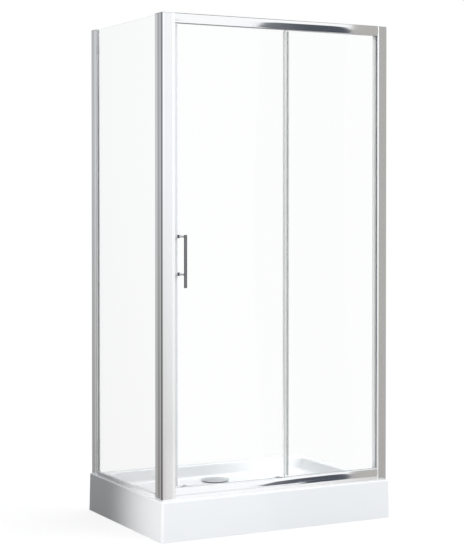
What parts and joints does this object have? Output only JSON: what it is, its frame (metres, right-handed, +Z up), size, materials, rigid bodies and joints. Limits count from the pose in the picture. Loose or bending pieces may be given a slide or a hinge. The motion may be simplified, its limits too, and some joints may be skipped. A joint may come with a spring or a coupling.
{
  "type": "shower enclosure",
  "caption": "Corner shower enclosure on a low tray: framed front with a fixed pane and a sliding door with a bar handle, and a frameless-top glass side panel.",
  "frame": {"origin": "on the floor under the middle foot, at the middle of the tray's length and width", "axes": "+Z up, +Y from the open front to the back wall, +X from the free glass side to the right-hand wall"},
  "size_m": [1, 0.713, 1.95],
  "materials": {
    "tray_shell": "glossy sanitary acrylic",
    "base_board": "raw chipboard",
    "tray_frame": "zinc-coated tube",
    "lock_nuts": "zinc-plated",
    "waste_flange": "polished",
    "waste_seal": "matte",
    "trap_body": "moulded",
    "waste_cup": "moulded",
    "waste_cover": "polished",
    "corner_post": "bright anodised",
    "post_cap": "moulded",
    "strike_profile": "bright anodised",
    "strike_magnet": "matte",
    "header_rail": "bright anodised",
    "sill_rail": "bright anodised",
    "frame_screws": "stainless",
    "right_wall_channel": "bright anodised",
    "right_jamb": "bright anodised",
    "jamb_screws": "stainless",
    "screw_caps": "moulded",
    "side_post_channel": "bright anodised",
    "side_jamb": "bright anodised",
    "side_wall_channel": "bright anodised",
    "channel_caps": "moulded",
    "side_glass": "clear toughened",
    "side_gaskets": "soft",
    "side_bottom_strip": "bright anodised",
    "fixed_glass": "clear toughened",
    "fixed_gaskets": "soft",
    "fixed_edge_seal": "soft",
    "door_stops": "matte",
    "door_glass": "clear toughened",
    "door_lead_seal": "soft with a magnet strip",
    "door_trail_seal": "soft",
    "roller_hubs": "polished",
    "roller_bolts": "stainless",
    "roller_bushes": "moulded",
    "lower_carriers": "moulded",
    "handle_bar": "polished",
    "handle_posts": "polished",
    "handle_washers": "soft",
    "handle_inner_caps": "polished",
    "upper_wheel_1": "moulded nylon",
    "lower_wheel_1": "moulded nylon",
    "upper_bearing_1": "ground",
    "lower_bearing_1": "ground",
    "release_slider_1": "moulded",
    "release_spring_1": "drawn wire",
    "upper_wheel_2": "moulded nylon",
    "lower_wheel_2": "moulded nylon",
    "upper_bearing_2": "ground",
    "lower_bearing_2": "ground",
    "release_slider_2": "moulded",
    "release_spring_2": "drawn wire",
    "levelling_foot_1": "zinc-plated stud in a pad",
    "levelling_foot_2": "zinc-plated stud in a pad",
    "levelling_foot_3": "zinc-plated stud in a pad",
    "levelling_foot_4": "zinc-plated stud in a pad",
    "levelling_foot_5": "zinc-plated stud in a pad"
  },
  "bodies": {
    "enclosure": {"tray_shell": "tray_shell", "base_board": "base_board", "tray_frame": "tray_frame", "lock_nuts": "lock_nuts", "waste_flange": "waste_flange", "waste_seal": "waste_seal", "trap_body": "trap_body", "corner_post": "corner_post", "post_cap": "post_cap", "strike_profile": "strike_profile", "strike_magnet": "strike_magnet", "header_rail": "header_rail", "sill_rail": "sill_rail", "frame_screws": "frame_screws", "right_wall_channel": "right_wall_channel", "right_jamb": "right_jamb", "jamb_screws": "jamb_screws", "screw_caps": "screw_caps", "side_post_channel": "side_post_channel", "side_jamb": "side_jamb", "side_wall_channel": "side_wall_channel", "channel_caps": "channel_caps", "side_glass": "side_glass", "side_gaskets": "side_gaskets", "side_bottom_strip": "side_bottom_strip", "fixed_glass": "fixed_glass", "fixed_gaskets": "fixed_gaskets", "fixed_edge_seal": "fixed_edge_seal", "door_stops": "door_stops"},
    "door": {"door_glass": "door_glass", "door_lead_seal": "door_lead_seal", "door_trail_seal": "door_trail_seal", "handle_bar": "handle_bar", "handle_posts": "handle_posts", "handle_washers": "handle_washers", "handle_inner_caps": "handle_inner_caps", "roller_hubs": "roller_hubs", "roller_bolts": "roller_bolts", "roller_bushes": "roller_bushes", "lower_carriers": "lower_carriers"},
    "upper_roller_1": {"upper_wheel_1": "upper_wheel_1", "upper_bearing_1": "upper_bearing_1"},
    "lower_release_1": {"release_slider_1": "release_slider_1", "release_spring_1": "release_spring_1"},
    "lower_roller_1": {"lower_wheel_1": "lower_wheel_1", "lower_bearing_1": "lower_bearing_1"},
    "upper_roller_2": {"upper_wheel_2": "upper_wheel_2", "upper_bearing_2": "upper_bearing_2"},
    "lower_release_2": {"release_slider_2": "release_slider_2", "release_spring_2": "release_spring_2"},
    "lower_roller_2": {"lower_wheel_2": "lower_wheel_2", "lower_bearing_2": "lower_bearing_2"},
    "waste_lid": {"waste_cover": "waste_cover", "waste_cup": "waste_cup"},
    "foot_1": {"levelling_foot_1": "levelling_foot_1"},
    "foot_2": {"levelling_foot_2": "levelling_foot_2"},
    "foot_3": {"levelling_foot_3": "levelling_foot_3"},
    "foot_4": {"levelling_foot_4": "levelling_foot_4"},
    "foot_5": {"levelling_foot_5": "levelling_foot_5"}
  },
  "joints": [
    {"name": "door_slide", "type": "slide", "parent": "enclosure", "child": "door", "axis": [1, 0, 0], "range_m": [0, 0.39]},
    {"name": "upper_roller_spin_1", "type": "hinge", "parent": "door", "child": "upper_roller_1", "pos_m": [-0.381, -0.287, 1.9347], "axis": [0, 1, 0], "range_deg": [0, 2545]},
    {"name": "lower_release_push_1", "type": "slide", "parent": "door", "child": "lower_release_1", "axis": [0, 0, 1], "range_m": [0, 0.0038], "stiffness_N_per_m": 400, "springref_m": -0.004, "deforming": ["release_spring_1"]},
    {"name": "lower_roller_spin_1", "type": "hinge", "parent": "lower_release_1", "child": "lower_roller_1", "pos_m": [-0.381, -0.287, 0.1824], "axis": [0, 1, 0], "range_deg": [0, 2545]},
    {"name": "upper_roller_spin_2", "type": "hinge", "parent": "door", "child": "upper_roller_2", "pos_m": [0.019, -0.287, 1.9347], "axis": [0, 1, 0], "range_deg": [0, 2545]},
    {"name": "lower_release_push_2", "type": "slide", "parent": "door", "child": "lower_release_2", "axis": [0, 0, 1], "range_m": [0, 0.0038], "stiffness_N_per_m": 400, "springref_m": -0.004, "deforming": ["release_spring_2"]},
    {"name": "lower_roller_spin_2", "type": "hinge", "parent": "lower_release_2", "child": "lower_roller_2", "pos_m": [0.019, -0.287, 0.1824], "axis": [0, 1, 0], "range_deg": [0, 2545]},
    {"name": "waste_lid_lift", "type": "slide", "parent": "enclosure", "child": "waste_lid", "axis": [0, 0, 1], "range_m": [0, 0.08]},
    {"name": "foot_turn_1", "type": "hinge", "parent": "enclosure", "child": "foot_1", "pos_m": [-0.4, -0.25, 0.04], "axis": [0, 0, 1], "continuous": true},
    {"name": "foot_turn_2", "type": "hinge", "parent": "enclosure", "child": "foot_2", "pos_m": [0.4, -0.25, 0.04], "axis": [0, 0, 1], "continuous": true},
    {"name": "foot_turn_3", "type": "hinge", "parent": "enclosure", "child": "foot_3", "pos_m": [-0.4, 0.29, 0.04], "axis": [0, 0, 1], "continuous": true},
    {"name": "foot_turn_4", "type": "hinge", "parent": "enclosure", "child": "foot_4", "pos_m": [0.4, 0.29, 0.04], "axis": [0, 0, 1], "continuous": true},
    {"name": "foot_turn_5", "type": "hinge", "parent": "enclosure", "child": "foot_5", "pos_m": [0, 0, 0.04], "axis": [0, 0, 1], "continuous": true}
  ],
  "couplings": [
    {"joint": "upper_roller_spin_1", "follows": "door_slide", "rad_per_m": 113.64},
    {"joint": "lower_roller_spin_1", "follows": "door_slide", "rad_per_m": 113.64},
    {"joint": "upper_roller_spin_2", "follows": "door_slide", "rad_per_m": 113.64},
    {"joint": "lower_roller_spin_2", "follows": "door_slide", "rad_per_m": 113.64}
  ]
}
